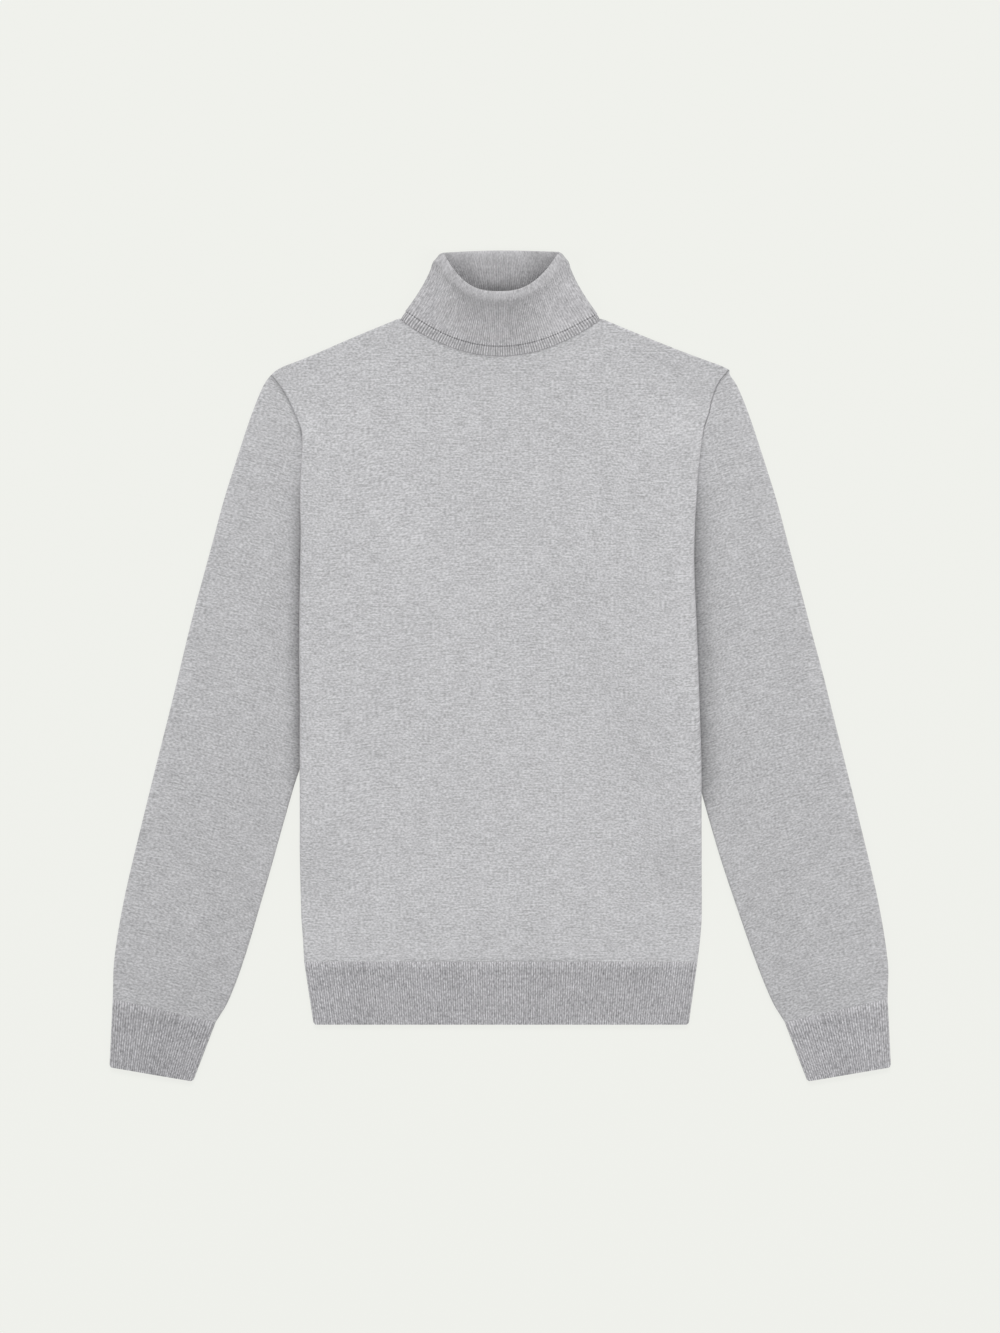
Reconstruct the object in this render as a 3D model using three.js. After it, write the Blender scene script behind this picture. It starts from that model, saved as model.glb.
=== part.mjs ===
// A fine-knit turtleneck sweater, laid flat on its back with the front up. The sleeves are drawn
// down beside the body, and their inner edges are slipped under its sides.
// Millimetres. +X runs to the right seen from above, +Y from the hem to the neck, and +Z up from
// the surface. The origin is on that surface, under the middle of the whole sweater.
// The front lies up, so the wearer's left is at +X.
import * as THREE from "three";

// Cloth
const JERSEY = 1.6; // wall of the plain knit
const RIB_WALL = 1.5; // wall of the ribbed knit, in its furrows
const RIB_RISE = 0.6; // a rib above the furrows
const RIB_PITCH = 2.2; // from one rib to the next, at the bottom edges
const SEAM = 0.3; // between pieces that are joined, and between layers that touch

// Body
const HEM_SEAM_Y = -284.5;
const HEM_EDGE_Y = -345.2;
const HEM_EDGE_HALF = { minusX: 179.9, plusX: 181.7 }; // half the width at its bottom edge
const SHOULDER_TIP_Y = 281;
const TIP_RISE = { minusX: 0, plusX: 5 }; // one shoulder lies a little higher
const NECK_HALF = 97.5; // half the width of the neckline
const NECK_Y = 335.5; // where the shoulder meets the neckline
const SHOULDER_BULGE = { minusX: 1.6, plusX: -0.6 };
const FRONT_NECK_DROP = 36;
const BACK_NECK_DROP = 4;
const PRESSED = 3.6; // two layers of jersey that lie flat on each other
const BODY_LIFT = 5.6; // how far the sides of the body are lifted by the sleeves under them
const BODY_PUFF = 1.5; // slack between front and back
const NECK_PUFF = 2.2; // more of it below the collar
const SIDE_ROLL = { minusX: 2.2, plusX: 3.2 }; // the soft roll of each side fold over its sleeve
const ROLL_EDGE = 4.5; // from the side to where the roll is at its height

// Sleeves
const UNDER_Y = 224; // below this the armhole seam runs on under the body
const ARMPIT_Y = 88;
const CUFF_OUTER_Y = -320.5;
const CUFF_INNER_Y = -343;
const SLEEVE_PUFF = 2.6;
const UNDER_PUFF = 0.8; // slack in the part under the body
const INNER_SHIFT = 3.3; // the inner edges aren't quite alike: out on one side, in on the other
const OUTER_SHIFT = { minusX: -0.2, plusX: 1.2 }; // nor are the outer edges, below the elbow
const CUFF_EDGE = { outerX: 376.8, outerY: -386.2, innerX: 296.2, innerY: -400 };
const CUFF_HEIGHT = 4;

// Collar, a ribbed band that is turned down over itself
const COLLAR_TOP_HALF = { minusX: 61.5, plusX: 62.7 };
const RIM_SIDE_Y = 394.4;
const RIM_BACK_Y = 398.4;
const RIM_FRONT_Y = 357.4;
const BACK_CREST_FALL = 1.7; // how far the back of the rim falls from its middle to its ends
const COLLAR_RIBS = 78; // across the front, and again across the back
const COLLAR_GAP = 1.2; // between the front and the back of the neckband, at the sides
const COLLAR_MOUTH = 11; // how far the front stands off the back in the middle
const BACK_RISE = 4; // how far the back of the rim would rise off the surface
const RIM_CORNER = 2.2; // how far the ends of the rim round off
const TURNED_TO = 0.155; // where the turned-down edge ends, as a share of the neckband's height
const TURNED_LOWER = { minusX: 0.03, plusX: 0.07 }; // lower by this at each end of the front
const BAND_FLAT = 0.12; // as far up, the neckband is out from under it

/** Half the width of the body at a height, from the hem seam to the tip of the shoulder. */
const BODY_SIDES = [
  { y: -284.5, minusX: 189, plusX: 190.2 },
  { y: -262, minusX: 190.3, plusX: 192.9 },
  { y: -240, minusX: 191.8, plusX: 194.4 },
  { y: -186, minusX: 192.9, plusX: 194 },
  { y: -140, minusX: 192.9, plusX: 193.8 },
  { y: -96, minusX: 193.1, plusX: 193.8 },
  { y: -32, minusX: 193.1, plusX: 191.8 },
  { y: 26, minusX: 193.6, plusX: 189.7 },
  { y: 92, minusX: 192.8, plusX: 187 },
  { y: 131, minusX: 192.2, plusX: 187.5 },
  { y: 160, minusX: 193, plusX: 189.2 },
  { y: 189, minusX: 192, plusX: 191.4 },
  { y: 224, minusX: 191, plusX: 196 },
  { y: 240, minusX: 196.6, plusX: 201.2 },
  { y: 256, minusX: 204, plusX: 205.3 },
  { y: 270, minusX: 212.2, plusX: 211.6 },
  { y: 281, minusX: 221, plusX: 221 },
];

/** The sleeve's outer edge, a fold, from the cuff to the tip of the shoulder. */
const SLEEVE_OUTER = [
  { y: -320.5, x: 373.6 },
  { y: -283, x: 372.4 },
  { y: -225, x: 363 },
  { y: -148, x: 345 },
  { y: -32, x: 316.2 },
  { y: 45, x: 297.4 },
  { y: 122, x: 276.8 },
  { y: 160, x: 266.6 },
  { y: 199, x: 254.4 },
  { y: 237, x: 241.9 },
  { y: 259, x: 233.6 },
  { y: 274, x: 226.6 },
  { y: 281, x: 221.3 },
];

/** Its inner edge, a seam, from the cuff to the armpit. Above y -100 it is under the body. */
const SLEEVE_INNER = [
  { y: -343, x: 274.4 },
  { y: -323, x: 262.4 },
  { y: -283, x: 246.6 },
  { y: -225, x: 227.8 },
  { y: -186, x: 215.7 },
  { y: -148, x: 204.8 },
  { y: -109, x: 193.4 },
  { y: -50, x: 172 },
  { y: 20, x: 144 },
  { y: 88, x: 124 },
];

/** Soft creases: the middle, direction in degrees, half length, half width and rise of each. */
const BODY_CREASES = [
  { x: -150, y: 190, turn: 78, long: 70, wide: 13, rise: 0.35 },
  { x: 158, y: 150, turn: 98, long: 80, wide: 14, rise: 0.35 },
  { x: 172, y: -160, turn: 12, long: 34, wide: 7, rise: 0.25 },
  { x: -60, y: 20, turn: 96, long: 150, wide: 26, rise: 0.4 },
  { x: 70, y: -60, turn: 84, long: 160, wide: 30, rise: 0.4 },
  { x: 10, y: 250, turn: 2, long: 70, wide: 16, rise: -0.3 },
];
const SLEEVE_CREASES = {
  minusX: [
    { x: -252, y: 30, turn: 72, long: 90, wide: 12, rise: 0.7 },
    { x: -255, y: -150, turn: 66, long: 60, wide: 9, rise: -0.7 },
    { x: -305, y: -250, turn: 20, long: 34, wide: 8, rise: 0.6 },
  ],
  plusX: [
    { x: 236, y: -80, turn: 32, long: 26, wide: 4.5, rise: 1.1 },
    { x: 243, y: -98, turn: 33, long: 26, wide: 4.5, rise: 1 },
    { x: 300, y: -10, turn: 106, long: 90, wide: 10, rise: 0.6 },
    { x: 300, y: -240, turn: 110, long: 50, wide: 10, rise: 0.5 },
  ],
};

const { lerp, clamp, smoothstep, degToRad } = THREE.MathUtils;
const sideOf = (x) => (x < 0 ? "minusX" : "plusX");

/** A column of a table at y, smooth through its rows. */
function read(table, column, y) {
  const below = table.filter((row) => row.y < y).length;
  const above = clamp(below, 1, table.length - 1);
  const slope = (i) => {
    const [a, b] = [table[Math.max(i - 1, 0)], table[Math.min(i + 1, table.length - 1)]];
    return (b[column] - a[column]) / (b.y - a.y);
  };
  const [low, high] = [table[above - 1], table[above]];
  const step = high.y - low.y;
  const t = clamp((y - low.y) / step, 0, 1);
  const held = 2 * t ** 3 - 3 * t ** 2;
  return (
    (held + 1) * low[column] -
    held * high[column] +
    (t ** 3 - 2 * t ** 2 + t) * step * slope(above - 1) +
    (t ** 3 - t ** 2) * step * slope(above)
  );
}

/** Height that a list of creases adds at a point. */
function creased(creases, x, y) {
  return creases.reduce((sum, crease) => {
    const turn = degToRad(crease.turn);
    const along = (x - crease.x) * Math.cos(turn) + (y - crease.y) * Math.sin(turn);
    const across = (y - crease.y) * Math.cos(turn) - (x - crease.x) * Math.sin(turn);
    const shape = Math.exp(-((along / crease.long) ** 2) - (across / crease.wide) ** 2);
    return sum + crease.rise * shape;
  }, 0);
}

/** Points and triangles of one closed surface. A row is a list of points, each with the column
 *  that it stands in, and not every row has a point in every column. */
class Skin {
  points = [];
  faces = [];

  row(points, columns = points.map((_, i) => i)) {
    return points.map((point, i) => ({ id: this.points.push(point) - 1, column: columns[i] }));
  }

  /** Joins two rows that close on themselves. */
  band(a, b) {
    const round = 1e6;
    const next = (row, i) => {
      if (i >= row.length) return Infinity;
      return i + 1 < row.length ? row[i + 1].column : round;
    };
    const id = (row, i) => row[i % row.length].id;
    let [i, j] = [0, 0];
    while (i < a.length || j < b.length) {
      if (next(a, i) <= next(b, j)) {
        this.faces.push([id(a, i), id(a, i + 1), id(b, j)]);
        i += 1;
      } else {
        this.faces.push([id(a, i), id(b, j + 1), id(b, j)]);
        j += 1;
      }
    }
  }

  /** Joins each row to the one after it. */
  bands(rows) {
    rows.slice(1).forEach((row, i) => this.band(rows[i], row));
  }

  /** Fills a grid of points, with the same diagonals whichever way it faces. */
  grid(rows, facing) {
    const ids = rows.map((row) => row.map(({ id }) => id));
    for (let j = 0; j + 1 < ids.length; j++) {
      for (let i = 0; i + 1 < ids[j].length; i++) {
        const [a, b, c, d] = [ids[j][i], ids[j][i + 1], ids[j + 1][i + 1], ids[j + 1][i]];
        this.faces.push(facing > 0 ? [a, b, c] : [a, c, b]);
        this.faces.push(facing > 0 ? [a, c, d] : [a, d, c]);
      }
    }
  }

  geometry() {
    const volume = this.faces.reduce((sum, [a, b, c]) => {
      const across = this.points[b].clone().cross(this.points[c]);
      return sum + this.points[a].dot(across);
    }, 0);
    const facing = volume < 0 ? this.faces.map((face) => face.toReversed()) : this.faces;
    return new THREE.BufferGeometry().setFromPoints(this.points).setIndex(facing.flat());
  }
}

/** A wall between two grids of points, one under the other. */
function sheetWall(under, over) {
  const skin = new Skin();
  const [low, high] = [under, over].map((rows) => rows.map((row) => skin.row(row)));
  const edge = (rows) => [
    ...rows[0].slice(0, -1),
    ...rows.slice(0, -1).map((row) => row.at(-1)),
    ...rows.at(-1).slice(1).reverse(),
    ...rows.slice(1).map((row) => row[0]).reverse(),
  ];
  const numbered = (row) => row.map(({ id }, column) => ({ id, column }));
  skin.grid(high, 1);
  skin.grid(low, -1);
  skin.band(numbered(edge(low)), numbered(edge(high)));
  return skin.geometry();
}

/** The way round a tube that lies flat: over the top from one edge to the other, and back
 *  underneath. s runs across from 0 to 1, turn is the way out of the cloth, rib is 1 on a rib,
 *  and plain marks the columns that a side without ribs needs. */
function flatLoop(over, under) {
  const fold = (s, ...turns) =>
    turns.map((turn) => ({ s, turn: degToRad(turn), rib: 0, plain: turn % 180 === 0 }));
  const layer = ({ shares, ribbed, every }, turn) =>
    shares.map((s, i) => ({ s, turn, rib: ribbed ? i % 2 : 0, plain: i % every === 0 }));
  return [
    ...fold(0, 180, 135),
    ...layer(over, Math.PI / 2),
    ...fold(1, 45, 0, -45),
    ...layer(under, -Math.PI / 2).reverse(),
    ...fold(0, -135),
  ].map((column, i) => ({ ...column, i }));
}

const evenShares = (count) => Array.from({ length: count + 1 }, (_, i) => i / count);
const smoothLayer = (count) => ({ shares: evenShares(count), ribbed: false, every: 2 });
const ribbedLayer = (ribs) => ({ shares: evenShares(2 * ribs), ribbed: true, every: 4 });
const evenRibs = (width) => 2 * Math.round(width / RIB_PITCH / 2);

/** A flat tube of cloth. place(q, f) is the point on the plan at station q and share f of the
 *  way across, top(x, y, f) the height there, and the underside is flat on the surface. */
function flatTube({ stations, loop, place, top, wall, rise }) {
  const point = (q, { s, turn, rib }, inset) => {
    const [start, end] = [place(q, 0), place(q, 1)];
    const width = start.distanceTo(end);
    const radius = PRESSED / 2;
    const sideways = radius + s * (width - 2 * radius) + (radius - inset) * Math.cos(turn);
    const share = sideways / width;
    const spot = place(q, share);
    const height = top(spot.x, spot.y, clamp(share, 0, 1));
    const raised = Math.sin(turn) > 0 ? rise * rib : 0;
    const z = height / 2 + (height / 2 - inset) * Math.sin(turn) + raised;
    return new THREE.Vector3(spot.x, spot.y, z);
  };
  const skin = new Skin();
  const ring = (q, columns, inset) =>
    skin.row(columns.map((column) => point(q, column, inset)), columns.map(({ i }) => i));
  const inside = loop.filter(({ plain }) => plain).map((column) => ({ ...column, rib: 0 }));
  const outer = stations.map((q) => ring(q, loop, 0));
  const inner = stations.map((q) => ring(q, inside, wall));
  skin.bands([...outer, ...inner.toReversed(), outer[0]]);
  return skin.geometry();
}

const bodyHalf = (x, y) => read(BODY_SIDES, sideOf(x), y);

/** A height of the body's side, drawn up to where the tip of that shoulder lies. */
function drawnUp(x, y) {
  const rise = TIP_RISE[sideOf(x)] / (SHOULDER_TIP_Y - HEM_SEAM_Y);
  return y + Math.max(0, y - HEM_SEAM_Y) * rise;
}

/** Where the sleeve under the body ends, as a distance from the middle line. */
function hiddenSleeve(y) {
  const overArmpit = clamp((y - ARMPIT_Y) / (UNDER_Y - ARMPIT_Y), 0, 1);
  const armpit = SLEEVE_INNER.at(-1).x;
  return y > ARMPIT_Y ? lerp(armpit, 191, overArmpit) : read(SLEEVE_INNER, "x", y);
}

/** How far the back of the body is held up by the sleeves. */
function lift(x, y) {
  const edge = Math.min(hiddenSleeve(y), bodyHalf(x, y)) - 26;
  const across = smoothstep(Math.abs(x), edge - 55, edge);
  const lengthways = smoothstep(y, -235, -165) * (1 - smoothstep(y, 223, 266));
  return BODY_LIFT * across * lengthways;
}

/** Slack between front and back, which closes towards the edges. */
function slack(x, y) {
  const side = smoothstep(bodyHalf(x, y) - Math.abs(x), 0, 34);
  const ends = smoothstep(y, HEM_SEAM_Y, -235) * (1 - 0.6 * smoothstep(y, 240, NECK_Y));
  const neck = Math.exp(-((x / 75) ** 2) - ((y - 315) / 55) ** 2);
  const creases = creased(BODY_CREASES, x, y) * side * smoothstep(y, HEM_SEAM_Y, -235);
  return Math.max(0, BODY_PUFF * side * ends + NECK_PUFF * neck + creases);
}

const frontUnderside = (x, y) => lift(x, y) + JERSEY + SEAM + 0.1 + slack(x, y);

/** Height of the soft roll at the sides of the front, where they lie over the sleeves. */
function sideRoll(x, y) {
  const inside = bodyHalf(x, y) - Math.abs(x);
  const rounded = Math.sqrt(1 - (1 - clamp(inside / ROLL_EDGE, 0, 1)) ** 2);
  const lengthways = smoothstep(y, -225, -120) * (1 - smoothstep(y, 95, 215));
  return SIDE_ROLL[sideOf(x)] * rounded * (1 - smoothstep(inside, 10, 75)) * lengthways;
}

const rolledFront = (x, y) => frontUnderside(x, y) + sideRoll(x, y);

const neckline = (x, drop) => NECK_Y - drop * (1 - (x / NECK_HALF) ** 2);

/** The top of a body panel: the shoulders, and the neckline between them. */
function panelTop(x, drop) {
  const reach = (Math.abs(x) - NECK_HALF) / (BODY_SIDES.at(-1)[sideOf(x)] - NECK_HALF);
  if (reach <= 0) return neckline(x, drop);
  const tipY = drawnUp(x, SHOULDER_TIP_Y);
  return lerp(NECK_Y, tipY, reach) + SHOULDER_BULGE[sideOf(x)] * Math.sin(Math.PI * reach);
}

/** Rows and columns of a body panel, closer together where it bends. */
const PANEL_HEIGHTS = [
  HEM_SEAM_Y, -262, -235, -200, -165, -110, -50, 10, 65, 110, 150, 190, UNDER_Y, 240, 256, 270,
  279.2, SHOULDER_TIP_Y,
];
const NECK_SHARES = [1, 2, 3, 4, 5, 6, 7, 8].map((step) => (NECK_HALF / 220.5) * (step / 8));
const PANEL_SHARES = [...NECK_SHARES, 0.54, 0.64, 0.74, 0.83, 0.91, 0.965, 0.99, 1];
const PANEL_COLUMNS = [...PANEL_SHARES.map((share) => -share).reverse(), 0, ...PANEL_SHARES];

function bodyPanel(neckDrop, underside, rounded) {
  const top = PANEL_COLUMNS.map((u) => panelTop(u * bodyHalf(u, SHOULDER_TIP_Y), neckDrop));
  const spots = PANEL_HEIGHTS.map((height) => {
    const rising = (height - HEM_SEAM_Y) / (SHOULDER_TIP_Y - HEM_SEAM_Y);
    return PANEL_COLUMNS.map((u, i) => {
      const x = u * bodyHalf(u, height);
      return { x, y: lerp(HEM_SEAM_Y, top[i], rising), edge: 1 - Math.abs(u) };
    });
  });
  const grid = (z) =>
    spots.map((row) => row.map((spot) => new THREE.Vector3(spot.x, spot.y, z(spot))));
  const full = ({ edge }) => JERSEY * (rounded ? lerp(0.5, 1, Math.min(1, edge / 0.012)) : 1);
  return sheetWall(
    grid(({ x, y }) => underside(x, y)),
    grid((spot) => underside(spot.x, spot.y) + full(spot)),
  );
}

/** The hem rib, one tube in line with both panels. */
function hemRib() {
  const half = (x, q) => lerp(bodyHalf(x, HEM_SEAM_Y), HEM_EDGE_HALF[sideOf(x)], q);
  const [topY, edgeY] = [HEM_SEAM_Y - SEAM, HEM_EDGE_Y];
  return flatTube({
    stations: [0, 1],
    loop: flatLoop(ribbedLayer(evenRibs(HEM_EDGE_HALF.minusX + HEM_EDGE_HALF.plusX)), smoothLayer(20)),
    place: (q, f) => new THREE.Vector2(lerp(-half(-1, q), half(1, q), f), lerp(topY, edgeY, q)),
    top: () => PRESSED,
    wall: RIB_WALL,
    rise: RIB_RISE,
  });
}

/** The armhole seam from the tip of the shoulder (s 0) to the armpit (s 1). */
function armhole(side, s) {
  const shown = 0.3; // the share of the seam above UNDER_Y
  const foldX = bodyHalf(side, UNDER_Y) + SEAM;
  if (s < shown) {
    const y = lerp(SHOULDER_TIP_Y, UNDER_Y, s / shown);
    return new THREE.Vector2(bodyHalf(side, y) + SEAM, drawnUp(side, y));
  }
  const t = (s - shown) / (1 - shown);
  const x = lerp(foldX, SLEEVE_INNER.at(-1).x, t);
  return new THREE.Vector2(x, lerp(drawnUp(side, UNDER_Y), ARMPIT_Y, t));
}

/** A point of the sleeve's plan, q 0 at the armhole and 1 at the cuff, f 0 at the outer edge. */
function sleevePlan(side, q, f) {
  const outerY = lerp(drawnUp(side, SHOULDER_TIP_Y), CUFF_OUTER_Y, q);
  const innerY = lerp(ARMPIT_Y, CUFF_INNER_Y, q ** 1.4);
  const shift = INNER_SHIFT * smoothstep(innerY, -335, -150) * (1 - smoothstep(innerY, 0, ARMPIT_Y));
  const lower = smoothstep(-outerY, -40, 20) * (1 - smoothstep(-outerY, 290, 322));
  const fuller = OUTER_SHIFT[side < 0 ? "minusX" : "plusX"] * lower;
  const outer = new THREE.Vector2(read(SLEEVE_OUTER, "x", outerY) + fuller, outerY);
  const inner = new THREE.Vector2(read(SLEEVE_INNER, "x", innerY) - side * shift, innerY);
  const [tip, pit] = [armhole(side, 0), armhole(side, 1)];
  const bow = armhole(side, clamp(f, 0, 1)).sub(tip.clone().lerp(pit, clamp(f, 0, 1)));
  const fade = Math.max(0, 1 - q / 0.3) ** 2;
  const spot = outer.lerp(inner, f).addScaledVector(bow, fade);
  return new THREE.Vector2(side * spot.x, spot.y);
}

/** Height of the sleeve's top. It is pressed flat at the cuff and where the body's side comes over
 *  it, has a little slack between, and beside the armhole seam it comes up to the body. */
function sleeveTop(x, y, f) {
  const outside = Math.abs(x) - bodyHalf(x, y);
  const aboveCuff = y - lerp(CUFF_OUTER_Y, CUFF_INNER_Y, f);
  const free = smoothstep(outside, 4, 34) * smoothstep(aboveCuff, 0, 34);
  const across = Math.sin(Math.PI * f) ** 0.8;
  const creases = creased(SLEEVE_CREASES[sideOf(x)], x, y);
  const puffed = Math.max(0, (SLEEVE_PUFF + creases) * across * free);
  const edgeX = Math.sign(x) * (bodyHalf(x, y) - 1);
  const seamTop = frontUnderside(edgeX, y) + JERSEY - PRESSED;
  const beside = smoothstep(y, UNDER_Y + 5, UNDER_Y + 24) * Math.exp(-((outside / 14) ** 2));
  const hidden = UNDER_PUFF * smoothstep(-outside, 3, 16);
  return PRESSED + puffed + hidden + Math.max(0, seamTop) * beside * smoothstep(f, 0, 0.06);
}

// The first columns meet the rows of the body's panels along the armhole seam.
const SLEEVE_TOP = {
  shares: [0, 0.053, 0.127, 0.212, 0.297, 0.39, 0.48, 0.57, 0.66, 0.75, 0.84, 0.92, 1],
  ribbed: false,
  every: 1,
};
const SLEEVE_UNDER = { shares: [0, 0.127, 0.297, 0.48, 0.66, 0.84, 1], ribbed: false, every: 1 };
const SLEEVE_STATIONS = [
  0, 0.025, 0.06, 0.11, 0.17, 0.25, 0.34, 0.43, 0.52, 0.62, 0.72, 0.82, 0.9, 0.955, 1,
];

function sleeve(side) {
  return flatTube({
    stations: SLEEVE_STATIONS,
    loop: flatLoop(SLEEVE_TOP, SLEEVE_UNDER),
    place: (q, f) => sleevePlan(side, q, f),
    top: sleeveTop,
    wall: JERSEY,
    rise: 0,
  });
}

/** The ribbed cuff, which goes on from the end of the sleeve and narrows. */
function cuff(side) {
  const end = { outer: new THREE.Vector2(side * CUFF_EDGE.outerX, CUFF_EDGE.outerY) };
  end.inner = new THREE.Vector2(side * CUFF_EDGE.innerX, CUFF_EDGE.innerY);
  const width = end.outer.distanceTo(end.inner);
  return flatTube({
    stations: [0, 1],
    loop: flatLoop(ribbedLayer(evenRibs(width)), smoothLayer(8)),
    place: (q, f) => {
      const seam = sleevePlan(side, 1, f).add(new THREE.Vector2(0, -SEAM));
      return seam.lerp(end.outer.clone().lerp(end.inner, f), q);
    },
    top: (x, y, f) => PRESSED + (CUFF_HEIGHT - PRESSED) * Math.sin(Math.PI * f),
    wall: RIB_WALL,
    rise: RIB_RISE,
  });
}

const DOUBLED = 2 * RIB_WALL + RIB_RISE + SEAM; // the neckband and the turned-down part on it

/** Height of the top of the collar's back. It comes up off its turned-down part beside the seam,
 *  and rises a little towards the rim. */
function collarBackTop(v) {
  const onTop = lerp(RIB_WALL, DOUBLED + 0.1, Math.min(1, v / BAND_FLAT));
  return onTop + BACK_RISE * smoothstep(v, 0.5, 1.1);
}

/** Height of the underside of the collar's front, which arches up to the middle of the rim. */
function collarFrontUnder(across, v) {
  const seamX = across * (NECK_HALF - DOUBLED);
  const atSeam = frontUnderside(seamX, neckline(seamX, FRONT_NECK_DROP));
  const closed = lerp(atSeam, collarBackTop(v) + COLLAR_GAP, smoothstep(v, 0, BAND_FLAT));
  return closed + COLLAR_MOUTH * (1 - across ** 2) * v ** 1.1;
}

/** A point of the collar. v is the share of the way up from the neckline to the rim, out the
 *  distance from the neckband's inner face through the cloth, and past how far the point is over
 *  the rim. */
function collarPoint({ s, turn, rib }, v, out, past) {
  const across = 2 * s - 1;
  const upright = Math.sin(turn);
  const front = Math.max(0, upright);
  // The turned-down part stays out over the neckband where it comes down past the band's bend.
  const level = out > RIB_WALL + RIB_RISE ? Math.max(v, BAND_FLAT) : v;
  const gap = (collarFrontUnder(1, level) - collarBackTop(level)) / 2;
  const reach = gap + out + rib * RIB_RISE;
  const plan = (share) => {
    const topHalf = COLLAR_TOP_HALF[sideOf(across)];
    const flare = (NECK_HALF - topHalf) * (1 - share) * (1 - 0.44 * share);
    const half = topHalf + flare - RIM_CORNER * smoothstep(share, 0.88, 1);
    const x = across * (half - DOUBLED - gap) + Math.cos(turn) * reach;
    const seamX = across * (NECK_HALF - DOUBLED - gap) + Math.cos(turn) * (gap + RIB_WALL);
    const seamY = neckline(seamX, lerp(BACK_NECK_DROP, FRONT_NECK_DROP, front)) + SEAM;
    const dip = (RIM_SIDE_Y - RIM_FRONT_Y) * (1 - Math.abs(across) ** 2.6);
    const crest = RIM_BACK_Y - RIM_SIDE_Y - BACK_CREST_FALL * Math.abs(across) ** 1.6;
    const rimY = RIM_SIDE_Y - (upright > 0.9 ? dip : 0) + (crest * (1 - upright)) / 2;
    return new THREE.Vector2(x, lerp(seamY, rimY, share));
  };
  const [seamSpot, rimSpot] = [plan(0), plan(1)];
  const spot = plan(v).addScaledVector(rimSpot.sub(seamSpot).normalize(), past);
  const onFold = collarBackTop(level) + gap + reach * upright;
  const onTop = collarFrontUnder(across, level) + out + rib * RIB_RISE;
  return new THREE.Vector3(spot.x, spot.y, upright > 0.9 ? onTop : onFold);
}

/** How far down the turned-down edge comes in a column. It comes lower at the ends of the front. */
function turnedEdge({ s, turn }) {
  const across = 2 * s - 1;
  const front = clamp(1 + Math.sin(turn), 0, 1);
  return TURNED_TO - TURNED_LOWER[sideOf(across)] * Math.abs(across) ** 3 * front;
}

/** The collar: a neckband that rises from the neckline, turns over at the rim and comes down
 *  outside itself. */
function collar() {
  const over = ({ turn }) => Math.sin(turn) > 0.01;
  const under = ({ turn }) => Math.sin(turn) < -0.01;
  const side = ({ turn }) => Math.abs(Math.cos(turn)) > 0.01;
  const folded = DOUBLED / 2;
  const beyond = folded * 0.85;
  const turnedInside = RIB_WALL + RIB_RISE + SEAM;
  // One row round the collar for each step of its profile, and where that row has ribs. The
  // back's inside faces up, so its ribs are raised the other way.
  const profile = [
    { v: 0, out: 0 },
    { v: BAND_FLAT, out: 0, ribs: under, raise: -1 },
    { v: 0.6, out: 0, ribs: under, raise: -1 },
    { v: 0.8, out: 0, ribs: under, raise: -1 },
    { v: 1, out: 0, ribs: under, raise: -1 },
    { v: 1, out: folded * 0.4, past: beyond },
    { v: 1, out: folded * 1.6, past: beyond, ribs: over, raise: 1 },
    { v: 1, out: DOUBLED, ribs: over, raise: 1 },
    { v: 0.8, out: DOUBLED, ribs: over, raise: 1 },
    { v: 0.6, out: DOUBLED, ribs: over, raise: 1 },
    { v: TURNED_TO, out: DOUBLED, ribs: over, raise: 1 },
    { v: TURNED_TO, out: turnedInside },
    { v: 0.6, out: turnedInside },
    { v: 0.8, out: turnedInside },
    { v: 0.96, out: RIB_WALL + SEAM },
    { v: 0.8, out: RIB_WALL },
    { v: 0.6, out: RIB_WALL },
    { v: BAND_FLAT, out: RIB_WALL, ribs: over, raise: 1 },
    { v: 0, out: RIB_WALL, ribs: over, raise: 1 },
  ];
  const columns = flatLoop(ribbedLayer(COLLAR_RIBS), ribbedLayer(COLLAR_RIBS));
  const skin = new Skin();
  const rows = profile.map(({ v, out, past = 0, ribs = () => false, raise = 0 }) => {
    const used = columns.filter((column) => column.plain || side(column) || ribs(column));
    const rib = (column) => (ribs(column) ? raise * column.rib : 0);
    const points = used.map((column) => {
      const height = v === TURNED_TO ? turnedEdge(column) : v;
      return collarPoint({ ...column, rib: rib(column) }, height, out, past);
    });
    return skin.row(points, used.map(({ i }) => i));
  });
  skin.bands([...rows, rows[0]]);
  return skin.geometry();
}

const jersey = new THREE.MeshStandardMaterial({ color: "#c0c0c1", roughness: 0.95, metalness: 0 });
const rib = new THREE.MeshStandardMaterial({ color: "#aba9ac", roughness: 0.95, metalness: 0 });

const PIECES = {
  back_body: [bodyPanel(BACK_NECK_DROP, lift, false), jersey],
  front_body: [bodyPanel(FRONT_NECK_DROP, rolledFront, true), jersey],
  hem_rib: [hemRib(), rib],
  sleeve_right: [sleeve(-1), jersey],
  sleeve_left: [sleeve(1), jersey],
  cuff_right: [cuff(-1), rib],
  cuff_left: [cuff(1), rib],
  collar: [collar(), rib],
};

const sweater = new THREE.Group();
for (const [name, [geometry, material]] of Object.entries(PIECES)) {
  const piece = new THREE.Mesh(geometry, material);
  piece.name = name;
  sweater.add(piece);
}

export default sweater;
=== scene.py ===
import math

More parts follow.
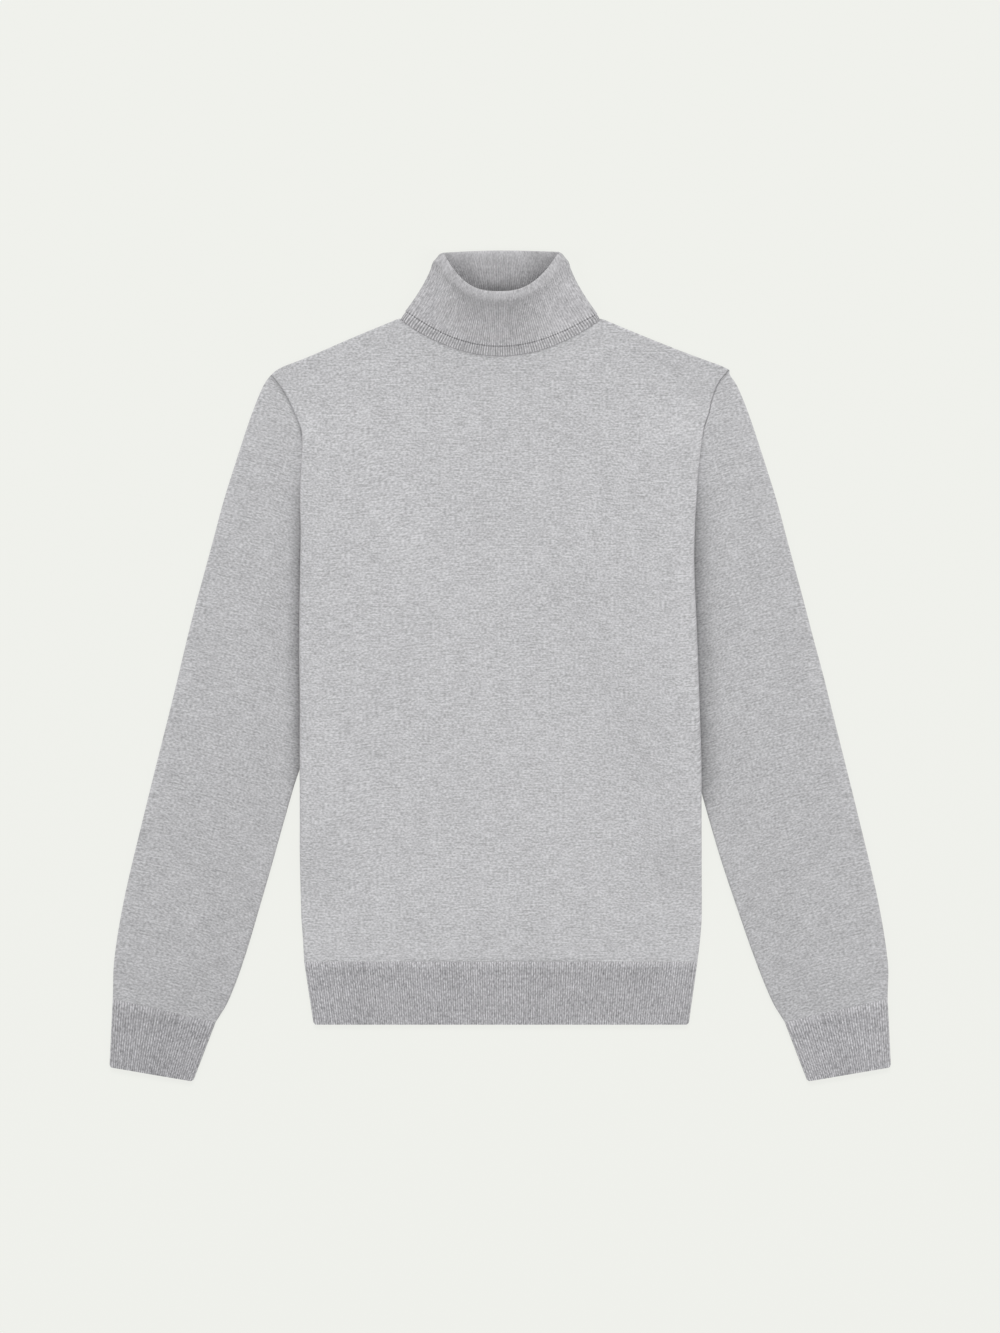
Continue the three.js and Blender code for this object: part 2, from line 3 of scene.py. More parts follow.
import bpy
import numpy as np
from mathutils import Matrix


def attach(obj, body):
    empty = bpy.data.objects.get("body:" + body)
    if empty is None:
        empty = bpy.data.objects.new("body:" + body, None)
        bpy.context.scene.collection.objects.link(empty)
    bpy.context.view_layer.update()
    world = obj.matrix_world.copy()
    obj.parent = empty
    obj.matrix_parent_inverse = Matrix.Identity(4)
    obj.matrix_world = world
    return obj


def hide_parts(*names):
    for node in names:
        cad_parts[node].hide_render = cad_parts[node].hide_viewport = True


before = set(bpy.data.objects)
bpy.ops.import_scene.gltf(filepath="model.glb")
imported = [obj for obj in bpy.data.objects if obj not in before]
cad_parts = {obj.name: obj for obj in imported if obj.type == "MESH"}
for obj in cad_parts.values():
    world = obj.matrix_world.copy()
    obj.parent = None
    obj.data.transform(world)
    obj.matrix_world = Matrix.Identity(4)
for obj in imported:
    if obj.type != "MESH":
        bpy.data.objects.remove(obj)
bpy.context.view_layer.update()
bpy.ops.object.select_all(action="DESELECT")

# Camera
# It looks straight down on the sweater from 3 m, so the cloth shows at 0.963 mm to a pixel of a
# frame 1333 pixels high.
MM = 0.001
PIXEL = 0.963 * MM
FRAME_HEIGHT = 1333 * PIXEL
LENS = 85.0
SENSOR = 36.0
CENTRE = (-0.2 * PIXEL, 0.0)
CLOTH_HEIGHT = 6 * MM  # of most of the cloth that shows
above_cloth = FRAME_HEIGHT * LENS / SENSOR
bpy.ops.object.camera_add(location=(*CENTRE, above_cloth + CLOTH_HEIGHT), rotation=(0, 0, 0))
camera = bpy.context.object
camera.name = "camera"
camera.data.lens = LENS
camera.data.sensor_width = SENSOR
camera.data.clip_end = 20.0
bpy.context.scene.camera = camera

# Floor and light
# A pale, even floor that the sweater lies on, lit by a soft sky, a wide panel past the neck and a
# weaker one on each side. Most of the floor's light comes from inside it, as on a light table.
SKY = 0.38
FLOOR = (0.871, 0.880, 0.839)
FLOOR_GLOW = 0.88


def panel(name, size, place, watts):
    """A soft light panel at place that faces the middle of the sweater."""
    bpy.ops.object.light_add(type="AREA", location=place)
    light = bpy.context.object
    light.name = name
    light.data.shape = "RECTANGLE"
    light.data.size, light.data.size_y = size
    light.data.energy = watts
    across, up, away = place
    tilt = math.atan2(math.hypot(across, up), away)
    light.rotation_euler = (tilt, 0, math.atan2(up, across) + math.pi / 2)


panel("panel_past_neck", (7.5, 3.75), (0, 8.0, 7.0), 680)
panel("panel_right", (1.6, 3.0), (-3.6, -1.1, 2.5), 45)
panel("panel_left", (1.6, 3.0), (3.6, -1.1, 2.5), 45)
world = bpy.data.worlds.new("soft_sky")
world.use_nodes = True
sky = world.node_tree.nodes["Background"]
sky.inputs["Color"].default_value = (1.0, 1.0, 1.0, 1.0)
sky.inputs["Strength"].default_value = SKY
bpy.context.scene.world = world
bpy.context.scene.view_settings.view_transform = "Standard"

bpy.ops.mesh.primitive_plane_add(size=8, location=(0, 0, -0.1 * MM))
floor = bpy.context.object
floor.name = "floor"
table_top = bpy.data.materials.new("pale_table")
table_top.use_nodes = True
finish = table_top.node_tree.nodes["Principled BSDF"]
finish.inputs["Base Color"].default_value = (*((1 - FLOOR_GLOW) * part for part in FLOOR), 1.0)
finish.inputs["Roughness"].default_value = 0.9
finish.inputs["Specular IOR Level"].default_value = 0.0
finish.inputs["Emission Color"].default_value = (*FLOOR, 1.0)
finish.inputs["Emission Strength"].default_value = FLOOR_GLOW
floor.data.materials.append(table_top)

# Back of the body
# One piece of plain jersey that lies on the floor. The sleeves are slipped under its sides and
# lift them. Its edges turn up to meet the front. Sizes here and below are in millimetres, with
# -1 for the wearer's right and 1 for the left.
JERSEY = 1.6  # thickness of the plain knit
FOLD = 1.8  # radius of a pressed fold of two layers
HEM_SEAM_Y = -284.5
SHOULDER_TIP_Y = 281.0
TIP_RISE = {-1: 0.0, 1: 5.0}
NECK_HALF = 97.5
NECK_Y = 335.5
SHOULDER_BULGE = {-1: 1.4, 1: -0.6}
TIP_BULGE = {-1: 2.6, 1: 0.9}
BACK_NECK_DROP = 4.0
NO_FOLD = 99  # stands for an edge that is too far off to fold the cloth
BODY_LIFT = 5.6
LIFT_MARGIN = 26  # how far before the sleeve's hidden edge the back is fully lifted
LIFT_SLOPE = 55  # width over which it rises to there
LIFT_STARTS = (-235, -165)
LIFT_ENDS = (208, 257)
UNDER_Y = 224.0  # where the sleeve's seam goes under the body
UNDER_HALF = 191
ARMPIT_Y = 88.0
# Half the width of the body at each height, on the wearer's right and left.
BODY_SIDES = {
    -1: [(-284.5, 189), (-262, 190.3), (-240, 191.8), (-186, 192.9), (-140, 192.9), (-96, 193.1),
         (-32, 193.1), (26, 193.6), (92, 192.8), (131, 192.2), (160, 193), (189, 192), (224, 191),
         (240, 196.6), (256, 204), (270, 212.2), (281, 221)],
    1: [(-284.5, 190.2), (-262, 192.9), (-240, 194.4), (-186, 194), (-140, 193.8), (-96, 193.8),
        (-32, 191.8), (26, 189.7), (92, 187), (131, 187.5), (160, 189.2), (189, 191.4), (224, 196),
        (240, 201.2), (256, 205.3), (270, 211.6), (281, 221)],
}
# How far out each sleeve's inner edge is at each height, up to the armpit.
SLEEVE_INNER = [(-343, 274.4), (-323, 262.4), (-283, 246.6), (-225, 227.8), (-186, 215.7),
                (-148, 204.8), (-109, 193.4), (-50, 172), (20, 144), (88, 124)]


def read(rows, y):
    """The second column of a table at y, smooth through its rows."""
    knots, values = np.array(rows, float).T
    slopes = np.empty_like(values)
    slopes[1:-1] = (values[2:] - values[:-2]) / (knots[2:] - knots[:-2])
    slopes[0] = (values[1] - values[0]) / (knots[1] - knots[0])
    slopes[-1] = (values[-1] - values[-2]) / (knots[-1] - knots[-2])
    high = np.clip(np.searchsorted(knots, y), 1, len(knots) - 1)
    low = high - 1
    step = knots[high] - knots[low]
    t = np.clip((y - knots[low]) / step, 0, 1)
    held = 2 * t**3 - 3 * t**2
    curved = (t**3 - 2 * t**2 + t) * slopes[low] + (t**3 - t**2) * slopes[high]
    return (held + 1) * values[low] - held * values[high] + curved * step


def ease(x, low, high):
    """A smooth step from 0 at low to 1 at high."""
    t = np.clip((x - low) / (high - low), 0, 1)
    return t * t * (3 - 2 * t)


def lerp(a, b, t):
    return a + (b - a) * t


def by_side(x, right, left):
    """Picks values by the side of the body that x is on."""
    return np.where(x < 0, right, left)


def body_half(x, y):
    return by_side(x, read(BODY_SIDES[-1], y), read(BODY_SIDES[1], y))


def drawn_up(x, y):
    """A height of the body's side, drawn up to where the tip of that shoulder lies."""
    rise = by_side(x, TIP_RISE[-1], TIP_RISE[1]) / (SHOULDER_TIP_Y - HEM_SEAM_Y)
    return y + np.maximum(0, y - HEM_SEAM_Y) * rise


def lift(x, y):
    """How far the back of the body is held up by the sleeves."""
    over_armpit = np.clip((y - ARMPIT_Y) / (UNDER_Y - ARMPIT_Y), 0, 1)
    armhole_half = lerp(SLEEVE_INNER[-1][1], UNDER_HALF, over_armpit)
    hidden = np.where(y > ARMPIT_Y, armhole_half, read(SLEEVE_INNER, y))
    edge = np.minimum(hidden, body_half(x, y)) - LIFT_MARGIN
    lengthways = ease(y, *LIFT_STARTS) * (1 - ease(y, *LIFT_ENDS))
    return BODY_LIFT * ease(np.abs(x), edge - LIFT_SLOPE, edge) * lengthways


def neckline(x, drop):
    return NECK_Y - drop * (1 - (x / NECK_HALF) ** 2)


def body_spot(u, v, drop):
    """Where a point of a body panel lies, with u from -1 to 1 across and v from 0 to 1 up, and
    how far it is from the nearest edge that is folded or seamed."""
    height = lerp(HEM_SEAM_Y, SHOULDER_TIP_Y, v)
    half = body_half(u, height)
    tip = body_half(u, SHOULDER_TIP_Y)
    at_top = np.abs(u) * tip
    reach = np.clip((at_top - NECK_HALF) / (tip - NECK_HALF), 0, 1)
    bulge = by_side(u, SHOULDER_BULGE[-1], SHOULDER_BULGE[1]) * np.sin(np.pi * reach)
    bulge = bulge + by_side(u, TIP_BULGE[-1], TIP_BULGE[1]) * np.sin(np.pi * reach**8)
    shoulder = lerp(NECK_Y, drawn_up(u, SHOULDER_TIP_Y), reach) + bulge
    top = np.where(at_top < NECK_HALF, neckline(at_top, drop), shoulder)
    x = u * half
    y = lerp(HEM_SEAM_Y, top, v)
    to_edge = np.minimum((1 - np.abs(u)) * half, np.where(at_top < NECK_HALF - 3, NO_FOLD, top - y))
    return x, y, to_edge


def turned(to_edge, radius):
    """How far cloth has turned down where it rounds into a fold at its edge."""
    inside = np.clip(radius - to_edge, 0, radius)
    return radius - np.sqrt(radius**2 - inside**2)


def knit(name, columns, rows, lay):
    """Lays a flat grid as cloth. lay turns shares across and along it into X, Y and Z, and into
    places across and along the knit, all in millimetres, and may add the cloth's tone there with
    any painted shade. The UV map keeps the places, and an attribute keeps that tone and painted shade."""
    bpy.ops.object.select_all(action="DESELECT")
    bpy.ops.mesh.primitive_grid_add(x_subdivisions=columns, y_subdivisions=rows, size=1)
    piece = bpy.context.object
    piece.name = piece.data.name = name
    mesh = piece.data
    spots = np.empty(len(mesh.vertices) * 3)
    mesh.vertices.foreach_get("co", spots)
    u, v = np.clip(spots.reshape(-1, 3)[:, :2].T + 0.5, 0, 1)
    laid = np.stack(np.broadcast_arrays(*lay(u, v)), axis=1) * MM
    mesh.vertices.foreach_set("co", laid[:, :3].ravel())
    corners = np.empty(len(mesh.loops), int)
    mesh.loops.foreach_get("vertex_index", corners)
    mesh.uv_layers.active.data.foreach_set("uv", laid[corners, 3:5].ravel())
    lightness = laid[:, 5] / MM if laid.shape[1] > 5 else np.ones(len(laid))
    mesh.attributes.new("lightness", "FLOAT", "POINT").data.foreach_set("value", lightness)
    mesh.update()
    return piece


def join_edges():
    """Closes the ring of cloth just laid where its two edges meet, and turns its faces out."""
    bpy.ops.object.mode_set(mode="EDIT")
    bpy.ops.mesh.select_all(action="SELECT")
    bpy.ops.mesh.remove_doubles(threshold=0.00001)
    bpy.ops.mesh.normals_make_consistent(inside=False)
    bpy.ops.object.mode_set(mode="OBJECT")


def give_wall(piece, wall, grows):
    """Gives cloth its thickness, on the side that it grows to: 1 is the way its faces look."""
    bpy.ops.object.modifier_add(type="SOLIDIFY")
    solidify = piece.modifiers[-1]
    solidify.thickness = wall * MM
    solidify.offset = grows
    bpy.ops.object.modifier_apply(modifier=solidify.name)


class Shade:
    """One output of a node. Arithmetic on it adds Math nodes to its material."""

    def __init__(self, socket):
        self.socket = socket

    def new(self, kind, settings, inputs, output=0):
        """Adds a node with its settings and the values or links of its inputs."""
        tree = self.socket.id_data
        node = tree.nodes.new(kind)
        for name, value in settings.items():
            setattr(node, name, value)
        for name, value in inputs.items():
            if isinstance(value, Shade):
                tree.links.new(value.socket, node.inputs[name])
            else:
                node.inputs[name].default_value = value
        return Shade(node.outputs[output])

    def math(self, operation, *values):
        return self.new("ShaderNodeMath", {"operation": operation}, dict(enumerate(values)))

    def smooth(self, low, high):
        limits = {"From Min": low, "From Max": high, "Value": self}
        return self.new("ShaderNodeMapRange", {"interpolation_type": "SMOOTHSTEP"}, limits)

    def __add__(self, other):
        return self.math("ADD", self, other)

    def __sub__(self, other):
        return self.math("SUBTRACT", self, other)

    def __rsub__(self, other):
        return self.math("SUBTRACT", other, self)

    def __mul__(self, other):
        return self.math("MULTIPLY", self, other)

    def __truediv__(self, other):
        return self.math("DIVIDE", self, other)

    __radd__ = __add__
    __rmul__ = __mul__


def melange(across, along, sizes, seed):
    """Light and dark fibres spun together, which show as flecks along the yarn. sizes lists each
    fleck's length, width and strength, from single fibres to faint clouds."""
    shade = None
    for i, (long, wide, strength) in enumerate(sizes):
        place = across.new("ShaderNodeCombineXYZ", {}, {
            0: across / (long * MM) + (seed + 31.0 * i),
            1: along / (wide * MM) + 17.0 * i,
        })
        flecks = place.new("ShaderNodeTexNoise", {"noise_dimensions": "2D"}, {
            "Vector": place, "Scale": 1.0, "Detail": 1.0, "Roughness": 0.5,
        })
        flecks = (flecks - 0.5) * strength
        shade = flecks if shade is None else shade + flecks
    return shade


def knit_look(name, dark, light, middle, fibres, stitches, seed, over_edges=0):
    """A matt knit of two colours of fibre. stitches gives the height of the stitches and how
    much light reaches between them. over_edges is 1 where the knit runs on down a folded edge."""
    look = bpy.data.materials.new(name)
    look.use_nodes = True
    shader = look.node_tree.nodes["Principled BSDF"]
    cloth = Shade(look.node_tree.nodes.new("ShaderNodeTexCoord").outputs["UV"])
    across = cloth.new("ShaderNodeSeparateXYZ", {}, {0: cloth}, 0)
    along = cloth.new("ShaderNodeSeparateXYZ", {}, {0: cloth}, 1)
    if over_edges:
        spot = cloth.new("ShaderNodeTexCoord", {}, {}, "Object")
        down = spot.new("ShaderNodeSeparateXYZ", {}, {0: spot}, 2) * over_edges
        across, along = across + down, along + down
    height, lit = stitches(across, along)
    share = (melange(across, along, fibres, seed) + middle) * lit
    share = share.new("ShaderNodeClamp", {}, {0: share})
    blend = {0: share, 6: (*dark, 1), 7: (*light, 1)}
    colour = share.new("ShaderNodeMix", {"data_type": "RGBA"}, blend, 2)
    # The knit's colour is scaled by the piece's attribute, which holds its tone and any painted shade.
    lightness = colour.new("ShaderNodeAttribute", {"attribute_name": "lightness"}, {}, 2)
    shaded = {0: lightness, 6: (0, 0, 0, 1), 7: colour}
    colour = colour.new("ShaderNodeMix", {"data_type": "RGBA", "clamp_factor": False}, shaded, 2)
    bump = colour.new("ShaderNodeBump", {}, {"Height": height, "Strength": 0.5, "Distance": 0.4 * MM})
    look.node_tree.links.new(colour.socket, shader.inputs["Base Color"])
    look.node_tree.links.new(bump.socket, shader.inputs["Normal"])
    shader.inputs["Roughness"].default_value = 0.92
    shader.inputs["Specular IOR Level"].default_value = 0.12
    shader.inputs["Sheen Weight"].default_value = 0.1
    shader.inputs["Sheen Roughness"].default_value = 0.6
    return look


JERSEY_COLUMN = 1.5
JERSEY_ROW = 1.15


def plain_stitches(across, along):
    """Jersey: columns of small V's, and a row of loops at each step along them."""
    columns = across / (JERSEY_COLUMN * MM)
    column = columns.math("FRACT", columns)
    off_middle = column - 0.5
    slant = off_middle.math("ABSOLUTE", off_middle)
    leg = column.math("SINE", column * (2 * math.pi))
    leg = leg.math("ABSOLUTE", leg)
    turn = (along / (JERSEY_ROW * MM) - slant * 1.2) * (2 * math.pi)
    loop = turn.math("SINE", turn) * 0.5 + 0.5
    height = leg * (loop * 0.5 + 0.5)
    return height, height * 0.3 + 0.86


# Length, width and strength of the flecks, then the darkest and the lightest yarn.
JERSEY_FLECKS = [(2.6, 1.5, 1.42), (13.0, 1.5, 0.72), (24.0, 12.0, 0.22), (110.0, 60.0, 0.1)]
JERSEY_TONES = (0.39, 0.389, 0.398), (0.76, 0.758, 0.775)
jersey = knit_look("grey_jersey", *JERSEY_TONES, 0.5, JERSEY_FLECKS, plain_stitches, 3.0, 1)


def crowded(t):
    """Spreads columns or rows over a panel, the last tenth of them close to its edge."""
    return np.interp(t, [0, 0.9, 1], [0, 0.985, 1])


def panel_spot(u, v, drop):
    """A body spot for shares across and along a flat grid."""
    across = np.sign(u - 0.5) * crowded(np.abs(2 * u - 1))
    return body_spot(across, crowded(v), drop)


def lay_back(u, v):
    x, y, to_edge = panel_spot(u, v, BACK_NECK_DROP)
    return x, y, lift(x, y) + turned(to_edge, FOLD), x, y


SMOOTH_BELOW = math.radians(55)  # edges of jersey sharper than this stay sharp
back = knit("back_cloth", 110, 130, lay_back)
give_wall(back, JERSEY, 1)
bpy.ops.object.shade_smooth_by_angle(angle=SMOOTH_BELOW)
back.data.materials.append(jersey)
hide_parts("back_body")
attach(back, "root")

# Sleeves
# Each is one piece of plain jersey, seamed along its inner edge and set into the armhole. It
# lies pressed flat with a soft fold along its outer edge, and runs on under the body.
PRESSED = 3.6  # height of two layers pressed together
SLEEVE_LENGTH = 600
SEAM_GROOVE = 1.2
SLEEVE_PUFF = 2.6  # how much higher the sleeve is in its middle
UNDER_PUFF = 0.8
CUFF_OUTER_Y = -320.5
CUFF_INNER_Y = -343.0
INNER_SHIFT = 3.3
OUTER_SHIFT = {-1: -0.2, 1: 1.2}
SLEEVE_TILT = math.radians(15.5)  # of the columns of its knit
SLEEVE_OUTER = [(-320.5, 373.6), (-283, 372.4), (-225, 363), (-148, 345), (-32, 316.2), (45, 297.4),
                (122, 276.8), (160, 266.6), (199, 254.4), (237, 241.9), (259, 233.6), (274, 226.6),
                (281, 221)]
# Soft creases: middle, direction in degrees, half length, half width, and rise.
SLEEVE_CREASES = {
    -1: [(-252, 30, 72, 90, 12, 0.7), (-255, -150, 66, 60, 9, -0.7), (-305, -250, 20, 34, 8, 0.6)],
    1: [(236, -80, 32, 26, 4.5, 1.1), (243, -98, 33, 26, 4.5, 1.0), (300, -10, 106, 90, 10, 0.6),
        (300, -240, 110, 50, 10, 0.5)],
}
BODY_CREASES = [(-150, 190, 78, 70, 13, 0.35), (158, 150, 98, 80, 14, 0.35),
                (172, -160, 12, 34, 7, 0.25), (-60, 20, 96, 150, 26, 0.4), (70, -60, 84, 160, 30, 0.4),
                (10, 250, 2, 70, 16, -0.3)]
BODY_PUFF = 1.5
NECK_PUFF = 2.2
PANEL_GAP = 0.4  # between back and front where they are pressed
ARMHOLE_SHOWN = 0.3  # share of the armhole seam that shows beside the body
# How light the sleeve is from the shoulder to the cuff.
SLEEVE_TONES = {-1: [0.94, 0.925, 0.895, 0.86], 1: [0.945, 0.93, 0.912, 0.89]}
# How far the shadow painted on the sleeve beside the body reaches over it, and how deep it is.
PAINTED_SIDE_SHADE = {-1: (16, 0.4), 1: (26, 0.4)}


def creased(creases, x, y):
    """Height that a list of creases adds."""
    height = 0.0
    for middle_x, middle_y, turn, long, wide, rise in creases:
        cos, sin = math.cos(math.radians(turn)), math.sin(math.radians(turn))
        along = (x - middle_x) * cos + (y - middle_y) * sin
        across = (y - middle_y) * cos - (x - middle_x) * sin
        height = height + rise * np.exp(-((along / long) ** 2) - (across / wide) ** 2)
    return height


def slack(x, y):
    """Slack between front and back of the body, which closes towards the edges."""
    side = ease(body_half(x, y) - np.abs(x), 0, 34)
    above_hem = ease(y, HEM_SEAM_Y, -235)
    neck = np.exp(-((x / 75) ** 2) - ((y - 315) / 55) ** 2)
    puff = BODY_PUFF * side * above_hem * (1 - 0.6 * ease(y, 240, NECK_Y))
    return np.maximum(0, puff + NECK_PUFF * neck + creased(BODY_CREASES, x, y) * side * above_hem)


def front_underside(x, y):
    return lift(x, y) + JERSEY + PANEL_GAP + slack(x, y)


def armhole(side, s):
    """The armhole seam from the tip of the shoulder to the armpit, as X outwards and Y."""
    high = lerp(SHOULDER_TIP_Y, UNDER_Y, s / ARMHOLE_SHOWN)
    t = np.clip((s - ARMHOLE_SHOWN) / (1 - ARMHOLE_SHOWN), 0, 1)
    low_x = lerp(body_half(side, UNDER_Y), SLEEVE_INNER[-1][1], t)
    low_y = lerp(drawn_up(side, UNDER_Y), ARMPIT_Y, t)
    shows = s < ARMHOLE_SHOWN
    return np.where(shows, body_half(side, high), low_x), np.where(shows, drawn_up(side, high), low_y)


def sleeve_plan(side, q, f):
    """A point of the sleeve's plan, q 0 at the armhole and 1 at the cuff, f 0 at the outer edge."""
    f = np.clip(f, 0, 1)
    outer_y = lerp(drawn_up(side, SHOULDER_TIP_Y), CUFF_OUTER_Y, q)
    inner_y = lerp(ARMPIT_Y, CUFF_INNER_Y, q**1.4)
    shift = INNER_SHIFT * ease(inner_y, -335, -150) * (1 - ease(inner_y, 0, ARMPIT_Y))
    fuller = OUTER_SHIFT[side] * ease(-outer_y, -40, 20) * (1 - ease(-outer_y, 290, 322))
    outer_x = read(SLEEVE_OUTER, outer_y) + fuller
    inner_x = read(SLEEVE_INNER, inner_y) - side * shift
    tip_x, tip_y = armhole(side, 0.0)
    pit_x, pit_y = armhole(side, 1.0)
    seam_x, seam_y = armhole(side, f)
    fade = np.maximum(0, 1 - q / 0.3) ** 2
    x = lerp(outer_x, inner_x, f) + (seam_x - lerp(tip_x, pit_x, f)) * fade
    y = lerp(outer_y, inner_y, f) + (seam_y - lerp(tip_y, pit_y, f)) * fade
    return side * x, y


def sleeve_top(x, y, f):
    """Height of the sleeve's top, pressed flat under the body and up to it at the armhole."""
    side = 1 if np.mean(x) > 0 else -1
    outside = np.abs(x) - body_half(side, y)
    across = np.sin(np.pi * np.clip(f, 0, 1)) ** 0.8
    free = ease(outside, 4, 34) * ease(y - lerp(CUFF_OUTER_Y, CUFF_INNER_Y, f), 0, 34)
    puffed = np.maximum(0, (SLEEVE_PUFF + creased(SLEEVE_CREASES[side], x, y)) * across * free)
    edge_x = side * (body_half(side, y) - 1)
    seam_top = front_underside(edge_x, y) + JERSEY - PRESSED
    near = np.exp(-((outside / 22) ** 2))
    beside = ease(y, UNDER_Y - 14, UNDER_Y + 16) * near * ease(outside, -2, 0)
    hidden = UNDER_PUFF * ease(-outside, 3, 16) * (1 - ease(y, 180, 212))
    at_edge = np.exp(-(((outside + 4) / 9) ** 2))
    up_to_body = np.maximum(0, lift(edge_x, y) - PRESSED - 0.2) * at_edge
    hidden = np.maximum(hidden, up_to_body * ease(y, 150, 190))
    return PRESSED + puffed + hidden + np.maximum(0, seam_top) * beside * ease(f, 0, 0.06)


def sleeve_tone_and_painted_shade(side, x, y, turn):
    """The sleeves are a little darker than the body, more so towards the cuffs, and painted shade
    darkens their top close beside the body's folded sides."""
    outside = np.abs(x) - body_half(side, y)
    # Painted shadow of the body's folded side on the sleeve's top, fading along the sleeve's length.
    reach, depth = PAINTED_SIDE_SHADE[side]
    shade = depth * (1 - np.clip(outside / reach, 0, 1)) ** 1.6
    lengthways = ease(y, -165, -95) * (1 - ease(y, 105, 200))
    down = np.interp(-y, [-260, 0, 150, 330], SLEEVE_TONES[side])
    return down * (1 - shade * lengthways * ease(np.sin(turn), 0, 0.7))


def fold_ribs(s, turn, ribs):
    """How many ribs a column is past the flat layer of a tube, on its way round the fold."""
    round_fold = np.arccos(np.clip(np.abs(np.sin(turn)), 0, 1)) / (np.pi / 2)
    return np.where(s > 0.5, 1, -1) * ribs * round_fold


def flat_loop(over, under, folds=7):
    """The way round a tube that lies flat: shares across it, the way out of the cloth, and the
    layer, 1 on top and -1 underneath."""
    turn = np.linspace(0, np.pi, folds + 2)[1:-1]
    fold = [(0, a) for a in np.pi / 2 + turn[::-1] if a <= np.pi]
    top = [(s, np.pi / 2) for s in np.linspace(0, 1, over + 1)]
    end = [(1, a) for a in np.pi / 2 - turn]
    bottom = [(s, -np.pi / 2) for s in np.linspace(1, 0, under + 1)]
    back_fold = [(0, a) for a in -np.pi / 2 - turn if a >= -np.pi]
    return np.array(fold + top + end + bottom + back_fold + [(fold[0][0], fold[0][1] - 2 * np.pi)])


def round_loop(loop, u):
    """The share across and the way out of the cloth, at a share of the way round a tube."""
    steps = np.arange(len(loop))
    at = u * (len(loop) - 1)
    return np.interp(at, steps, loop[:, 0]), np.interp(at, steps, loop[:, 1])


def across_tube(s, turn, start, end):
    """The share of a flat tube's width that its cloth is at, and that width, from the places of
    its two sides."""
    width = np.hypot(end[0] - start[0], end[1] - start[1])
    return (FOLD + s * (width - 2 * FOLD) + FOLD * np.cos(turn)) / width, width


SLEEVE_LOOP = flat_loop(56, 30)


def lay_sleeve(side):
    """Lays the sleeve of one side, from the armhole to the cuff."""
    def lay(u, v):
        s, turn = round_loop(SLEEVE_LOOP, u)
        share, _ = across_tube(s, turn, sleeve_plan(side, v, 0.0), sleeve_plan(side, v, 1.0))
        x, y = sleeve_plan(side, v, share)
        below_seam = v * SLEEVE_LENGTH
        seam = turned(below_seam, SEAM_GROOVE) * (np.sin(turn) > 0.5)
        z = sleeve_top(x, y, share) / 2 * (1 + np.sin(turn)) - seam
        cos, sin = math.cos(SLEEVE_TILT), math.sin(SLEEVE_TILT)
        in_groove = 0.3 * (1 - ease(below_seam, 0.2, 1.1))
        lightness = sleeve_tone_and_painted_shade(side, x, y, turn) * (1 - in_groove)
        return x, y, z, side * x * cos + y * sin, side * x * sin - y * cos, lightness
    return lay


for side, name in ((-1, "sleeve_right"), (1, "sleeve_left")):
    sleeve = knit(f"{name}_cloth", len(SLEEVE_LOOP) - 1, 170, lay_sleeve(side))
    join_edges()
    give_wall(sleeve, JERSEY, -1)
    bpy.ops.object.shade_smooth_by_angle(angle=SMOOTH_BELOW)
    sleeve.data.materials.append(jersey)
    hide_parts(name)
    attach(sleeve, "root")

# Front of the body
# The front panel lies on the back, with a little slack between them. Its sides round down into
# the folds, and its neckline is dropped.
FRONT_NECK_DROP = 36.0
# Height and width of the soft roll that each side fold makes over the sleeve.
SIDE_ROLL = {-1: 2.8, 1: 4.4}
ROLL_EDGE = 4.5  # width over which the roll rounds up from the body's edge


def side_roll(x, y):
    """How far the roll stands over the rest of the front."""
    inside = body_half(x, y) - np.abs(x)
    rounded = np.sqrt(1 - (1 - np.clip(inside / ROLL_EDGE, 0, 1)) ** 2)
    lengthways = ease(y, -225, -120) * (1 - ease(y, 95, 215))
    rise = by_side(x, SIDE_ROLL[-1], SIDE_ROLL[1])
    return rise * rounded * (1 - ease(inside, 10, 75)) * lengthways


def lay_front(u, v):
    x, y, to_edge = panel_spot(u, v, FRONT_NECK_DROP)
    z = front_underside(x, y) + side_roll(x, y) + JERSEY - turned(to_edge, FOLD)
    # Painted shade: the front is a little darker within about 48 mm of its top edge, and a narrow line
    # along the neck seam is darker still.
    v = np.maximum(crowded(v), 0.1)
    below_top = (y - HEM_SEAM_Y) * (1 - v) / v
    seam = np.where(np.abs(x) < NECK_HALF, 1 - ease(below_top, 0.5, 4.5), 0)
    return x, y, z, x, y, 1 - 0.15 * seam - 0.045 * (1 - ease(below_top, 4, 48))


front = knit("front_cloth", 170, 200, lay_front)
give_wall(front, JERSEY, -1)
bpy.ops.object.shade_smooth_by_angle(angle=SMOOTH_BELOW)
front.data.materials.append(jersey)
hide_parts("front_body")
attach(front, "root")

# Hem and cuffs
# Rings of 1 by 1 rib, linked to the body and the sleeves. Ribs stand out as fine ridges 2.2 mm
# apart, and the first stitches below the link, stretched open, carry a painted highlight.
RIB_WALL = 1.3
RIB_RISE = 0.6
RIB_PITCH = 2.2
RIB_ROW = 1.3
HEM_EDGE_Y = -345.2
HEM_EDGE_HALF = {-1: 179.9, 1: 181.7}
CORNER = 3.0  # radius of the bottom corners
RIB_DEPTH = 62  # about how deep the hem and the cuffs are
SMOOTH_RIB_BELOW = math.radians(60)
HEM_RIBS = 166
CUFF_RIBS = 38
CUFF_END = {"outer": (376.8, -386.2), "inner": (296.2, -400.0)}


